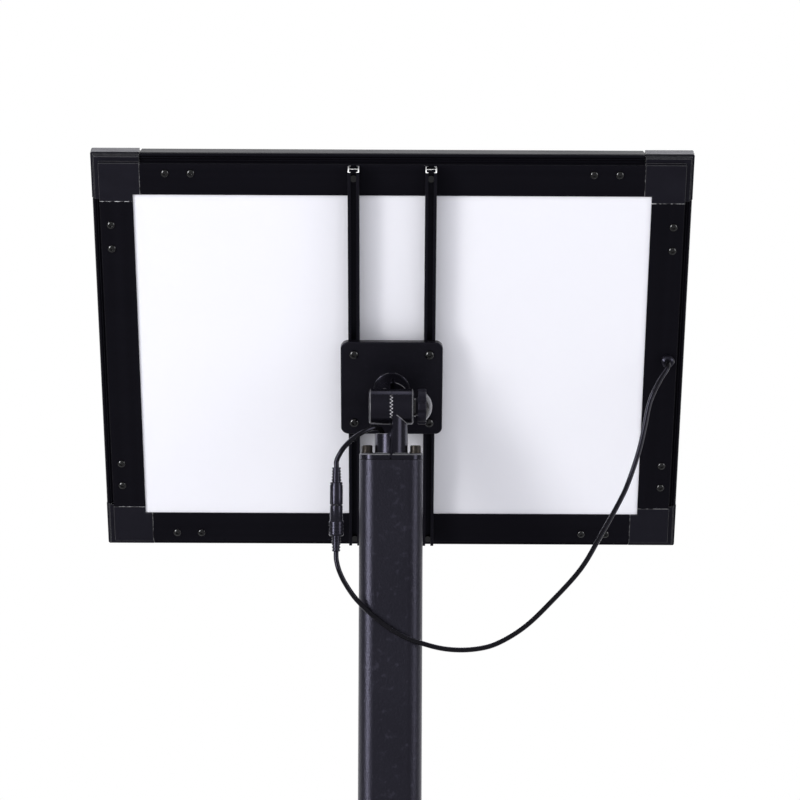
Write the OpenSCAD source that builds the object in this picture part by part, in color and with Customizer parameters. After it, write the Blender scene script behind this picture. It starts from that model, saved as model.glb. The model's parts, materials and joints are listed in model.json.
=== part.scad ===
// LED menu stand: an A3 light box in a snap frame, on a toothed tilt joint at the top of a post.
// Millimetres. Z is up, the floor is z = 0 and the post's axis is x = 0, y = 0.
// The menu faces +Y. The rear of the light box, with its rails and lead, faces -Y.

/* [Stand] */
// height of the tilt axis above the floor
axis_h = 1050; // [900:10:1200]
// base plate, side to side
base_w = 340; // [320:5:400]
// base plate, front to back
base_d = 300; // [290:5:360]
// base plate thickness
base_t = 8; // [6:1:12]
// base plate corner radius
base_r = 24; // [5:1:40]
// height of the rubber feet
foot_h = 3; // [2:0.5:5]
// post, side to side
post_w = 50; // [48:1:54]
// post, front to back
post_d = 30; // [28:1:34]
// radius of the post's corners
post_r = 12; // [8:0.5:13]
// wall of the post
post_wall = 2; // [1.5:0.25:2.5]

/* [Tilt joint] */
// lean of the light box from upright, degrees
tilt = 26; // [14:12:50]
// teeth round the joint
teeth = 30; // [24:6:36]
// depth of a tooth at the rim
tooth_h = 1.5; // [1:0.1:1.6]
// light that shows between the two rows of teeth
seam_gap = 0.3; // [0.2:0.05:0.5]
// diameter of the drum
drum_d = 28; // [27:0.5:30]
// length of each half of the drum
drum_half = 17.4; // [16.5:0.1:18]
// diameter of the neck
neck_d = 26; // [24:0.5:27]
// tilt axis above the neck's flange
neck_len = 36.5; // [35:0.5:42]
// diameter of the head's stem
stem_d = 27; // [25:0.5:27.5]
// tilt axis to the mounting plate
stem_len = 32; // [31.5:0.5:38]
// flange thickness
flange_t = 5; // [4:0.5:7]

/* [Knob] */
// diameter over the lobes
knob_d = 28; // [26:0.5:32]
// lobes of the grip
lobes = 8; // [6:1:10]
// length of the grip
grip_l = 6.8; // [6:0.2:9]
// diameter of the domed cap
cap_d = 21.4; // [18:0.2:22]
// height of the domed cap
cap_h = 4.7; // [3:0.1:6]

/* [Mounting plate and rails] */
// side of the square plate
plate_s = 81; // [76:1:90]
// plate thickness
plate_t = 5; // [4:0.5:6]
// distance between the plate's screws, and between the rails
rail_gap = 60; // [56:1:64]
// rail width
rail_w = 9; // [8.6:0.1:10]
// rail depth, from the frame to the plate
rail_d = 15; // [14:0.5:18]
// rail ends, from the middle of the light box
rail_up = 165.5; // [160:0.5:165.5]
rail_down = 162; // [160:0.5:165]

/* [Light box] */
// opening of the frame, side to side
open_w = 404; // [380:2:440]
// opening of the frame, top to bottom
open_h = 281; // [270:1:300]
// middle of the opening above the tilt axis
panel_up = 16.5; // [10:0.5:24]
// length of the frame that each corner moulding covers inside the opening's line
corner_in = 5.5; // [4:0.5:8]
// how far the corner mouldings stand out past the lids
corner_proud = 0.5; // [0.2:0.1:1]
// pitch of the light emitters
led_pitch = 15; // [12:1:20]

/* [Lead] */
// diameter of the lead
lead_d = 4; // [3.6:0.1:4.4]

/* [Hidden] */
$fn = 64;

// colours
coat = [0.05, 0.05, 0.06];
mould = [0.08, 0.08, 0.09];
steel = [0.45, 0.44, 0.42];
white = [0.95, 0.95, 0.97];
soft = [0.04, 0.04, 0.04];

// screws: shank, clearance hole, and the socket for the key across its corners
m3 = 3;
m3_hole = 3.3;
m3_key = 2.4;
m4 = 4;
m4_hole = 4.4;
m4_key = 2.9;
m5 = 4.9;
m5_hole = 5.4;
m5_key = 4.6;
sunk_d = 10;
sunk_h = 2.6;
sunk_key = 3.4;
thread_fit = 0.06;

// stand
floor_z = foot_h + base_t;
flange_z = axis_h - neck_len;
post_top = flange_z - flange_t;
base_edge = 1.2;
flange_edge = 0.9;
foot_d = 24;
foot_in = 26;
bolt_x = 19;
bolt_l = 15;
channel_d = 5;
channel_wall = 2;
hole_x = -7;
hole_d = 6.6;
bush_z = floor_z + 45;
bush_hole = 10.2;
bush_bore = 2.6;

// tilt joint
drum_r = drum_d / 2;
tooth_deg = 360 / teeth;
root_deg = atan(tooth_h / 2 / drum_r);
crest = tooth_h / 2 - 0.12;
flank = drum_r * sin(tooth_deg / 2)
    / (tooth_h / 2 * cos(root_deg) + drum_r * cos(tooth_deg / 2) * sin(root_deg));
recess_r = 8;
recess_l = 2;
stud_r = 4;
stud_gap = 0.2;
drum_edge = 1;
neck_shoulder = 15.5;
neck_fillet = 5;
stem_shoulder = 16.2;
stem_fillet = 1.8;
foot_fillet = 0.9;
foot_rim = 0.4;
stem_screw_x = 8;
stem_screw_l = 11;
nut_w = 12.9;
nut_h = 6.3;
washer_d = 16;
washer_x = drum_half + seam_gap / 2 + 0.05;
grip_x = drum_half + 1.7;
hub_d = 14;
hub_l = 1.5;
grip_edge = 0.8;
lobe_cut = 6;
dome_r = (cap_d * cap_d / 4 + cap_h * cap_h) / (2 * cap_h);

// mounting plate and rails
plate_r = 6;
plate_edge = 0.6;
rail_wall = 1.2;
rail_lip = 1.4;
rail_mouth = 4.2;
rail_slot = 5.5;
nut_l = 12;
nut_t = 3.9;

// light box: w runs outwards from the opening's edge and n runs forwards from the rear face
panel_n = stem_len + plate_t + rail_d;
main_w = 25.9;
web = 1.6;
wall = 1.4;
keyway_w = 6.4;
front_n = 10.2;
lid_n = 18;
lid_in = 16.6;
lid_edge = 1.4;
lid_lip = 1.2;
lid_gap = 0.3;
pivot_w = 30.4;
pivot_n = 7.7;
bead_r = 1.65;
bead_fit = 0.1;
seat_t = 1.1;
profile_w = 32.1;
screw_w = 18;
screw_in = [20, 40];
gland_w = 18.5;
gland_hole = 7.2;
key_gap = 0.3;
key_arm = 50;
key_end = 17;

// rear steps of a corner moulding: how far out each reaches, and the depth where it starts
pad_w = main_w + 0.2;
step_w = 29.9;
step_n = 4.2;
rib_w = 30.9;
rib_n = 5.9;
shell_n = 7.9;

// plug and socket of the lead, with heights from the tilt axis
plug_x = -42.6;
plug_y = -18;
plug_low = -113;
plug_top = -76.9;
socket_low = -76.7;
socket_top = -47.6;
barrel_d = 5.4;
barrel_l = 12;
pin_d = 2;

// route of the panel's lead, from the gland to the plug, with z from the tilt axis
panel_route = [[220.5, 43.1, 39.4], [220.5, 39.5, 37.6], [220.5, 36.4, 36.1], [220.5, 33.2, 34.5],
    [218.8, 29.5, 30], [212.8, 28, 20.5], [205.6, 27.5, 4.5], [201.4, 27, -15.2], [196.6, 25.5, -35.2],
    [188.5, 23.5, -59.2], [181.2, 21, -74.8], [166.4, 17, -101], [150.2, 12.5, -127.8], [126, 6.5, -154],
    [106, 1.5, -172.5], [86, -3.5, -184.5], [70, -7.5, -189.2], [50.5, -11.5, -190], [31, -15.5, -186.5],
    [7.5, -17.3, -177.7], [-12, -17.3, -164.4], [-27.6, -17.3, -149.5], [-37.5, -17.7, -133],
    [-42.6, -18, -120], [-42.6, -18, -116.5], [-42.6, -18, -113]];

// route of the lead from the socket, over the neck's shoulder and down inside the post
post_route = [[-42.6, -18, -47.6], [-42.6, -18, -45.4], [-42.6, -18, -43], [-41, -18, -38.8],
    [-36.8, -17.5, -32], [-29.6, -16, -25], [-21, -13, -19.3], [-13.5, -8.5, -16.6], [-9, -4, -17.8],
    [-7.2, -1, -20.6], [-7, 0, -25], [-7, 0, -34], [-7, 0, -54]];

function unit(v) = v / norm(v);
function tangent(p, i) = unit(p[min(i + 1, len(p) - 1)] - p[max(i - 1, 0)]);
function across(v, t) = unit(v - (v * t) * t);
function between(a, b, c, d, s) = 0.5 * (2 * b + (c - a) * s + (2 * a - 5 * b + 4 * c - d) * s * s
    + (3 * b - a - 3 * c + d) * s * s * s);
function smooth(p, k) = concat([for (i = [0:len(p) - 2], j = [0:k - 1])
    between(p[max(i - 1, 0)], p[i], p[i + 1], p[min(i + 2, len(p) - 1)], j / k)], [p[len(p) - 1]]);
function normals(p, v) = [for (i = 0, n = across(v, tangent(p, 0)); i < len(p);
    n = across(n, tangent(p, min(i + 1, len(p) - 1))), i = i + 1) n];

// round lead along a route
module lead_tube(route) {
    sides = 10;
    path = smooth(route, 2);
    side_dir = normals(path, [1, 0.2, 0.1]);
    last = len(path) - 1;
    points = [for (i = [0:last], k = [0:sides - 1])
        let (t = tangent(path, i), n = side_dir[i], b = cross(t, n), a = 360 * k / sides)
        path[i] + lead_d / 2 * (cos(a) * n + sin(a) * b)];
    sides_f = [for (i = [0:last - 1], k = [0:sides - 1]) let (m = (k + 1) % sides)
        [i * sides + k, (i + 1) * sides + k, (i + 1) * sides + m, i * sides + m]];
    ends_f = [[for (k = [0:sides - 1]) k], [for (k = [sides - 1:-1:0]) last * sides + k]];
    translate([0, 0, axis_h]) polyhedron(points, concat(sides_f, ends_f), convexity = 6);
}

// frame of the tilting head: y runs out from the tilt axis to the menu, z up the light box
module head_frame() translate([0, 0, axis_h]) rotate([tilt, 0, 0]) children();

// frame of the light box: y = 0 is its rear face, z = 0 the middle of the opening
module panel_frame() head_frame() translate([0, panel_n, panel_up]) children();

// one side of the frame, 0 top, 1 right, 2 bottom, 3 left: x is w, y is n, z runs along the side
module side(i) panel_frame() rotate([0, 90 * i, 0]) translate([0, 0, half(i)]) rotate([0, -90, 0]) children();
function half(i) = (i % 2 == 0 ? open_h : open_w) / 2;
function side_l(i) = (i % 2 == 0 ? open_w : open_h) - 2 * corner_in;

// one corner of the frame: x and z run outwards from the opening's corner
module corner_frame(sx, sz) panel_frame() translate([sx * open_w / 2, 0, sz * open_h / 2])
    mirror([sx < 0 ? 1 : 0, 0, 0]) mirror([0, 0, sz < 0 ? 1 : 0]) children();

// flat shape in x and z, from one depth to another
module slab(n0, n1) translate([0, n1, 0]) rotate([90, 0, 0]) linear_extrude(n1 - n0) children();

// cylinder along +x or +y
module rod_x(d, x0, x1) translate([x0, 0, 0]) rotate([0, 90, 0]) cylinder(d = d, h = x1 - x0);
module rod_y(d, y0, y1) translate([0, y0, 0]) rotate([-90, 0, 0]) cylinder(d = d, h = y1 - y0);

module round_square(w, d, r) {
    difference() {
        square([w, d], center = true);
        for (a = [-1, 1], b = [-1, 1]) translate([a * w / 2, b * d / 2]) square(2 * r, center = true);
    }
    for (a = [-1, 1], b = [-1, 1]) translate([a * (w / 2 - r), b * (d / 2 - r)]) circle(r);
}

// rounded slab of thickness t with its top edge cut back by c
module eased_slab(w, d, r, t, c) {
    linear_extrude(t - c) round_square(w, d, r);
    translate([0, 0, t - c]) {
        for (a = [-1, 1], b = [-1, 1]) translate([a * (w / 2 - r), b * (d / 2 - r), 0])
            cylinder(r1 = r, r2 = r - c, h = c);
        rotate([90, 0, 0]) linear_extrude(d - 2 * r, center = true)
            polygon([[-w / 2, 0], [w / 2, 0], [w / 2 - c, c], [c - w / 2, c]]);
        rotate([90, 0, 90]) linear_extrude(w - 2 * r, center = true)
            polygon([[-d / 2, 0], [d / 2, 0], [d / 2 - c, c], [c - d / 2, c]]);
    }
}

// countersunk screw from its flat face at z = 0, and the hole that it sits in
module sunk_screw(d, l) difference() {
    union() {
        cylinder(d1 = sunk_d, d2 = d, h = sunk_h);
        cylinder(d = d, h = l);
    }
    translate([0, 0, -1]) cylinder(d = sunk_key, h = sunk_h, $fn = 6);
}
module sunk_hole(l) translate([0, 0, -0.1]) {
    cylinder(d1 = sunk_d + 0.6, d2 = m5_hole, h = sunk_h + 0.1);
    cylinder(d = m5_hole, h = l);
}

module base_plate() color(coat) translate([0, 0, foot_h]) difference() {
    eased_slab(base_w, base_d, base_r, base_t, base_edge);
    for (s = [-1, 1]) translate([s * bolt_x, 0, 0]) sunk_hole(base_t + 1);
}

module rubber_feet() color(soft) for (a = [-1, 1], b = [-1, 1])
    translate([a * (base_w / 2 - foot_in), b * (base_d / 2 - foot_in), 0]) {
        cylinder(d1 = foot_d - 2, d2 = foot_d, h = 1);
        translate([0, 0, 1]) cylinder(d = foot_d, h = foot_h - 1);
    }

// bolts up through the base into the post's screw channels
module base_bolts() color(steel) for (s = [-1, 1]) translate([s * bolt_x, 0, foot_h])
    sunk_screw(m5, base_t + bolt_l);

// hollow extrusion with a screw channel at each end of its section
module post() color(coat) difference() {
    translate([0, 0, floor_z]) linear_extrude(post_top - floor_z) difference() {
        union() {
            difference() {
                round_square(post_w, post_d, post_r);
                round_square(post_w - 2 * post_wall, post_d - 2 * post_wall, post_r - post_wall);
            }
            for (s = [-1, 1]) translate([s * bolt_x, 0]) {
                circle(d = channel_d + 2 * channel_wall);
                translate([s * 3, 0]) square(4, center = true);
            }
        }
        for (s = [-1, 1]) translate([s * bolt_x, 0]) circle(d = channel_d);
    }
    translate([0, 0, bush_z]) rod_y(bush_hole, -post_d / 2 - 1, 0);
}

// bush for the supply lead, low on the rear of the post
module supply_bush() color(soft) translate([0, -post_d / 2, bush_z]) rotate([90, 0, 0]) rotate_extrude()
    polygon([[bush_bore, 2.2], [6, 2.2], [7, 1.2], [7, 0], [5, 0], [5, -post_wall], [6.2, -post_wall],
        [5.2, -4], [bush_bore, -4]]);

// one half of the drum, without its teeth: the rim lies on a shallow cone through the tilt axis
module drum_blank() rotate([0, 90, 0]) rotate_extrude()
    polygon([[0, 1], [recess_r - 1, 1], [recess_r - 1, -crest * (recess_r - 1) / drum_r], [drum_r, -crest],
        [drum_r, drum_half - drum_edge], [drum_r - drum_edge, drum_half], [0, drum_half]]);

// grooves between the teeth: each runs down to the tilt axis, so teeth and grooves match at any radius
module tooth_grooves(phase) for (i = [0:teeth - 1]) rotate([i * tooth_deg + phase, 0, 0])
    rotate([0, root_deg, 0]) linear_extrude(2 * drum_r) polygon([[0, 0], [-3, -3 * flank], [-3, 3 * flank]]);

// recess inside the ring of teeth, and the bore for the stud
module drum_bore() {
    rod_x(2 * recess_r, -5, recess_l);
    rod_x(2 * (stud_r + stud_gap), -5, drum_half + 1);
}

// clearance over the shoulder of a stem, in x and z, with a rounded inner corner
module shoulder_cut(r, low) difference() {
    translate([-40, low]) square([40, 60]);
    difference() {
        translate([-r, low - 1]) square([r + 1, r + 1]);
        translate([-r, low + r]) circle(r);
    }
}

// flange on the post, round neck and the right half of the toothed drum
module neck_casting() color(coat) difference() {
    union() {
        translate([0, 0, post_top]) eased_slab(post_w, post_d, post_r, flange_t, flange_edge);
        difference() {
            translate([0, 0, flange_z - 1]) cylinder(d = neck_d, h = neck_len + 1);
            translate([tooth_h / 2 + seam_gap / 2, 0, flange_z]) rotate([90, 0, 0])
                linear_extrude(2 * neck_d, center = true) shoulder_cut(neck_fillet, neck_shoulder);
        }
        translate([seam_gap / 2, 0, axis_h]) drum_blank();
    }
    translate([seam_gap / 2, 0, axis_h]) {
        tooth_grooves(0);
        drum_bore();
    }
    for (s = [-1, 1]) translate([s * bolt_x, 0, post_top - 1]) cylinder(d = m5_hole, h = flange_t + 2);
    translate([hole_x, 0, post_top - 1]) cylinder(d = hole_d, h = flange_t + neck_shoulder + 4);
}

// socket-head bolts down through the flange into the post's screw channels
module flange_bolts() color(steel) for (s = [-1, 1]) translate([s * bolt_x, 0, flange_z + 1]) difference() {
    union() {
        cylinder(d = 8.5, h = 4.4);
        translate([0, 0, 4.4]) cylinder(d1 = 8.5, d2 = 7.3, h = 0.6);
        translate([0, 0, -flange_t - bolt_l]) cylinder(d = m5, h = flange_t + bolt_l + 1);
    }
    translate([0, 0, 2.2]) cylinder(d = m5_key, h = 4, $fn = 6);
}

module flange_washers() color(steel) for (s = [-1, 1]) translate([s * bolt_x, 0, flange_z]) difference() {
    cylinder(d = 9.2, h = 1);
    translate([0, 0, -1]) cylinder(d = m5_hole, h = 3);
}

// rim round the foot of the stem, with a fillet up to the stem
module stem_foot() translate([0, stem_len, 0]) rotate([90, 0, 0]) rotate_extrude() difference() {
    square([stem_d / 2 + foot_fillet, foot_rim + foot_fillet]);
    translate([stem_d / 2 + foot_fillet, foot_rim + foot_fillet]) circle(foot_fillet);
}

// left half of the toothed drum and the stem that carries the mounting plate
module head_casting() color(coat) head_frame() difference() {
    union() {
        stem_foot();
        difference() {
            rod_y(stem_d, 0, stem_len);
            translate([-tooth_h / 2 - seam_gap / 2, stem_len, 0]) rotate([0, 0, 180])
                linear_extrude(2 * stem_d, center = true) shoulder_cut(stem_fillet, stem_shoulder);
        }
        translate([-seam_gap / 2, 0, 0]) mirror([1, 0, 0]) drum_blank();
    }
    translate([-seam_gap / 2, 0, 0]) mirror([1, 0, 0]) {
        tooth_grooves(-tooth_deg / 2 - tilt);
        drum_bore();
        translate([drum_half - nut_h - 0.3, 0, 0]) rotate([0, 90, 0])
            cylinder(d = (nut_w + 0.2) / cos(30), h = nut_h + 1, $fn = 6);
    }
    for (s = [-1, 1]) translate([s * stem_screw_x, 0, 0])
        rod_y(m5 + thread_fit, stem_len - stem_screw_l - 2, stem_len + 1);
}

module clamp_nut() color(steel) head_frame() difference() {
    translate([-seam_gap / 2 - drum_half + 0.3, 0, 0]) rotate([0, 90, 0])
        cylinder(d = nut_w / cos(30), h = nut_h, $fn = 6);
    rod_x(2 * stud_r + thread_fit, -2 * drum_half, 0);
}

// places of the plate's four screws
module at_plate_screws() head_frame() for (a = [-1, 1], b = [-1, 1])
    translate([a * rail_gap / 2, stem_len, b * rail_gap / 2]) children();

module mount_plate() color(coat) difference() {
    head_frame() translate([0, stem_len + plate_t, 0]) rotate([90, 0, 0])
        eased_slab(plate_s, plate_s, plate_r, plate_t, plate_edge);
    at_plate_screws() rod_y(m4_hole, -1, plate_t + 1);
    head_frame() for (s = [-1, 1]) translate([s * stem_screw_x, stem_len + plate_t, 0]) rotate([90, 0, 0])
        sunk_hole(plate_t + 1);
}

// button-head screws that clamp the plate to the rails
module plate_screws() color(steel) at_plate_screws() difference() {
    union() {
        rotate([90, 0, 0]) rotate_extrude()
            polygon([[0, 0], [3.8, 0], [3.8, 0.5], [3.2, 1.6], [2.2, 2.4], [0, 2.4]]);
        rod_y(m4, -0.5, plate_t + rail_lip + nut_t + 0.9);
    }
    rotate([90, 0, 0]) translate([0, 0, 0.9]) cylinder(d = m4_key, h = 3, $fn = 6);
}

// nuts that slide in the rails' rear slots
module slot_nuts() color(steel) at_plate_screws() translate([0, plate_t + rail_lip + 0.05, 0]) difference() {
    translate([-(rail_w - 2 * rail_wall - 0.2) / 2, 0, -nut_l / 2])
        cube([rail_w - 2 * rail_wall - 0.2, nut_t, nut_l]);
    rod_y(m4 + thread_fit, -1, nut_t + 1);
}

module stem_screws() color(steel) head_frame() for (s = [-1, 1])
    translate([s * stem_screw_x, stem_len + plate_t, 0]) rotate([90, 0, 0])
        sunk_screw(m5, plate_t + stem_screw_l);

module clamp_washer() color(steel) translate([0, 0, axis_h]) difference() {
    rod_x(washer_d, washer_x, grip_x);
    rod_x(2 * (stud_r + stud_gap), 0, 2 * drum_half);
}

// lobed grip with a hub against the washer
module knob_grip() color(mould) translate([grip_x, 0, axis_h]) difference() {
    union() {
        rod_x(hub_d, 0, hub_l + 0.5);
        difference() {
            translate([hub_l, 0, 0]) rotate([0, 90, 0]) rotate_extrude() polygon([[0, 0],
                [knob_d / 2 - grip_edge, 0], [knob_d / 2, grip_edge], [knob_d / 2, grip_l - grip_edge],
                [knob_d / 2 - grip_edge, grip_l], [0, grip_l]]);
            for (i = [0:lobes - 1]) rotate([(i + 0.5) * 360 / lobes, 0, 0])
                translate([0, 0, knob_d / 2 + 1.6]) rod_x(lobe_cut, 0, hub_l + grip_l + 1);
        }
    }
    rod_x(2 * stud_r + thread_fit, -1, 5.6);
}

module knob_cap() color([0.3, 0.3, 0.32]) translate([grip_x + hub_l + grip_l, 0, axis_h]) intersection() {
    translate([cap_h - dome_r, 0, 0]) sphere(dome_r, $fn = 96);
    rod_x(2 * cap_d, 0, 2 * cap_h);
}

module knob_stud() color(steel) translate([0, 0, axis_h]) rod_x(2 * stud_r, 0.4 - drum_half, grip_x + 5.5);

// rail section: a slot at the rear for the plate's nuts, one at the front, and a web between them
module rail_section() difference() {
    inner = rail_w - 2 * rail_wall;
    deep = rail_d - rail_slot - 3 * rail_lip;
    translate([-rail_w / 2, -rail_d]) square([rail_w, rail_d]);
    translate([-inner / 2, rail_lip - rail_d]) square([inner, rail_slot]);
    translate([-inner / 2, -rail_lip - deep]) square([inner, deep]);
    for (y = [-rail_d, 0]) translate([-rail_mouth / 2, y - rail_lip - 1])
        square([rail_mouth, 2 * rail_lip + 2]);
}

// places of the screws that hold the rails to the frame, on the rails' webs
module at_rail_screws(s) panel_frame() for (b = [-1, 1])
    translate([s * rail_gap / 2, rail_lip + rail_slot - rail_d, b * (open_h / 2 + screw_w)]) children();

module rail(s) color(coat) difference() {
    panel_frame() translate([s * rail_gap / 2, 0, -rail_down])
        linear_extrude(rail_up + rail_down) rail_section();
    at_rail_screws(s) rod_y(m3_hole, -1, rail_lip + 1);
}
module rail_left() rail(-1);
module rail_right() rail(1);

module rail_screws() color(steel) for (s = [-1, 1]) at_rail_screws(s) {
    rod_y(5.6, -2, 0);
    rod_y(m3, -1, rail_d - rail_slot - rail_lip + web + 3);
}

// frame section: rear web, walls of the keyway, front web and the seat for the lid's bead
module frame_section() {
    square([main_w, web]);
    translate([keyway_w - wall, 0]) square([wall, front_n]);
    translate([main_w - wall, 0]) square([wall, front_n]);
    translate([keyway_w - wall, front_n - wall]) square([main_w - keyway_w + wall, wall]);
    translate([main_w - 0.5, pivot_n - 0.8]) square([pivot_w - bead_r - seat_t - main_w + 0.9, 1.6]);
    translate([pivot_w, pivot_n]) intersection() {
        difference() {
            circle(bead_r + bead_fit + seat_t);
            circle(bead_r + bead_fit);
        }
        polygon([[0, 0], [-0.5, 5], [-5, 5], [-5, -4.5]]);
    }
}

module frame_side(i) color(coat) side(i) difference() {
    linear_extrude(side_l(i), center = true) frame_section();
    for (s = [-1, 1], d = screw_in) translate([screw_w, 0, s * (side_l(i) / 2 - d)])
        rod_y(m3_hole, -1, web + 0.5);
    if (i % 2 == 0) for (s = [-1, 1]) translate([screw_w, 0, s * rail_gap / 2]) rod_y(m3_hole, -1, web + 0.5);
    if (i == 1) translate([gland_w, 0, 0]) rod_y(gland_hole, -1, web + 0.5);
}
module frame_top() frame_side(0);
module frame_right() frame_side(1);
module frame_bottom() frame_side(2);
module frame_left() frame_side(3);

// outline of a corner moulding, out to w, with the opening's corner left out
module corner_shape(w, r) difference() {
    union() {
        translate([-corner_in, -corner_in]) square([w + corner_in, w + corner_in - r]);
        translate([-corner_in, -corner_in]) square([w + corner_in - r, w + corner_in]);
        translate([w - r, w - r]) circle(r);
    }
    translate([-50, -50]) square(50);
}

// outer front edge that is cut off a corner moulding, in w and n
module corner_bevel(w) linear_extrude(4 * profile_w, center = true)
    polygon([[w - lid_edge, lid_n + 0.2], [w, lid_n + 0.2 - lid_edge], [w + 1, lid_n + 0.2 - lid_edge],
        [w + 1, lid_n + 1.2], [w - lid_edge, lid_n + 1.2]]);

// square recess from the opening's side out to w
module corner_hollow(n, w) slab(n, lid_in) translate([-20, -20]) square(20 + w);

// corner moulding: a thin shell over the key, which steps in towards a raised pad at the rear
module corner(sx, sz) color(mould) corner_frame(sx, sz) {
    shell_w = profile_w + corner_proud;
    difference() {
        union() {
            slab(0, step_n + 1) corner_shape(pad_w, 0.6);
            slab(step_n, rib_n + 1) corner_shape(step_w, 0.8);
            slab(rib_n, shell_n + 1) corner_shape(rib_w, 1);
            slab(shell_n, lid_n + 0.2) corner_shape(shell_w, 1.6);
        }
        corner_hollow(web, main_w - wall);
        corner_hollow(step_n + wall, step_w - wall);
        corner_hollow(shell_n + wall, profile_w - 1);
        corner_bevel(shell_w);
        rotate([0, -90, 0]) corner_bevel(shell_w);
    }
    slab(11.1, lid_in + 0.5) difference() {
        translate([-corner_in, -corner_in]) square(corner_in + lid_lip);
        translate([-50, -50]) square(50);
    }
}
module corner_tr() corner(1, 1);
module corner_br() corner(1, -1);
module corner_bl() corner(-1, -1);
module corner_tl() corner(-1, 1);

// keys that join the sides inside the corner mouldings
module corner_keys() color(steel) for (sx = [-1, 1], sz = [-1, 1]) corner_frame(sx, sz) difference() {
    key_w = main_w - wall - keyway_w - 2 * key_gap;
    slab(web, front_n - wall - 0.2) union() {
        translate([-corner_in - key_arm, keyway_w + key_gap]) square([corner_in + key_arm + key_end, key_w]);
        translate([keyway_w + key_gap, -corner_in - key_arm]) square([key_w, corner_in + key_arm + key_end]);
    }
    for (d = screw_in) {
        translate([-corner_in - d, 0, screw_w]) rod_y(m3 + thread_fit, 0, front_n);
        translate([screw_w, 0, -corner_in - d]) rod_y(m3 + thread_fit, 0, front_n);
    }
}

module frame_screws() color(steel) for (i = [0:3]) side(i) for (s = [-1, 1], d = screw_in)
    translate([screw_w, 0, s * (side_l(i) / 2 - d)]) difference() {
        union() {
            rotate([90, 0, 0]) rotate_extrude() polygon([[0, 0], [3.3, 0], [3.3, 0.5], [2.6, 1.5], [0, 1.8]]);
            rod_y(m3, -0.5, 7);
        }
        rotate([90, 0, 0]) translate([0, 0, 0.7]) cylinder(d = m3_key, h = 3, $fn = 6);
    }

// lid section without its bead: outer wall, front face and the lip that holds the menu down
module lid_section() polygon([[pivot_w + 0.3, pivot_n + 0.4], [pivot_w + 0.3, lid_in], [lid_lip, lid_in],
    [lid_lip, 11.05], [0.4, 11.05], [0, 11.5], [0, lid_n - 0.6], [0.6, lid_n], [profile_w - lid_edge, lid_n],
    [profile_w, lid_n - lid_edge], [profile_w, pivot_n + 0.4]]);

// end of a lid that is cut away at a slant, so the lid clears the corner moulding as it swings up
module lid_relief() rotate([90, 0, 90]) linear_extrude(3 * profile_w, center = true)
    polygon([[10, 0], [lid_n + 1, -1.6], [lid_n + 1, 1], [10, 1]]);

module lid(i) color(coat) side(i) {
    lid_l = side_l(i) - 2 * lid_gap;
    difference() {
        union() {
            linear_extrude(lid_l, center = true) lid_section();
            translate([pivot_w, pivot_n, 0]) cylinder(r = bead_r, h = lid_l, center = true);
        }
        translate([0, 0, lid_l / 2]) lid_relief();
        mirror([0, 0, 1]) translate([0, 0, lid_l / 2]) lid_relief();
    }
}
module lid_top() lid(0);
module lid_right() lid(1);
module lid_bottom() lid(2);
module lid_left() lid(3);

// leaf springs under the lids
module lid_springs() color(steel) for (i = [0:3]) side(i) for (s = [-1, 1])
    translate([0, 0, s * side_l(i) / 4]) linear_extrude(20, center = true) polygon([[12, front_n],
        [14, front_n], [18, lid_in - 1], [22, front_n], [23.5, front_n], [18.4, lid_in - 0.4],
        [17.6, lid_in - 0.4]]);

module sheet(over_w, over_h, n0, n1) panel_frame() slab(n0, n1)
    square([open_w + 2 * over_w, open_h + 2 * over_h], center = true);
module back_sheet() color(white) sheet(4.8, 4.8, web, 3.4);
module reflector_sheet() color([0.9, 0.9, 0.9]) sheet(4, 4, 3.4, 3.7);
module light_guide() color([0.8, 0.9, 0.95, 0.5]) sheet(4, 2.2, 3.7, 8.7);
module diffuser_sheet() color(white) sheet(3.8, 3.8, 8.7, front_n);
module cover_sheet() color([0.9, 0.95, 1, 0.3]) sheet(8, 8, front_n, 11);

// emitters on a narrow board, facing the edge of the light guide
module led_strip(i) color([0.9, 0.9, 0.85]) side(i) {
    count = floor((side_l(i) - 24) / led_pitch);
    translate([keyway_w - 2.4, 3.9, -side_l(i) / 2 + 6]) cube([1, 4.6, side_l(i) - 12]);
    for (k = [0:count]) translate([keyway_w - 3.6, 4.7, (k - count / 2) * led_pitch - 1.5]) cube([1.4, 3, 3]);
}
module led_strip_top() led_strip(0);
module led_strip_bottom() led_strip(2);

// domed gland where the lead leaves the frame
module panel_gland() color(soft) panel_frame() translate([open_w / 2 + gland_w, 0, 0]) rotate([90, 0, 0])
    rotate_extrude() polygon([[lead_d / 2 - 0.05, 4.4], [3.4, 4.4], [4.8, 3.6], [5.5, 2.2], [5.65, 0],
        [3.5, 0], [3.5, -web], [4.6, -web], [3.6, -3.6], [lead_d / 2 - 0.05, -3.6]]);

module panel_lead() color(soft) lead_tube(panel_route);

// ribbed strain relief from its thick end, r0 at z = 0, to its tail, r1 at z = l
module relief(r0, r1, l, ribs) {
    pitch = l / ribs;
    rotate_extrude() polygon(concat([[0, -0.5], [r0 - 0.5, -0.5]],
        [for (k = [0:ribs - 1]) let (r = r0 + (r1 - r0) * k / (ribs - 1)) each [[r - 0.5, k * pitch],
            [r - 0.5, (k + 0.4) * pitch], [r, (k + 0.45) * pitch], [r, (k + 1) * pitch]]], [[0, l]]));
}

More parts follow.
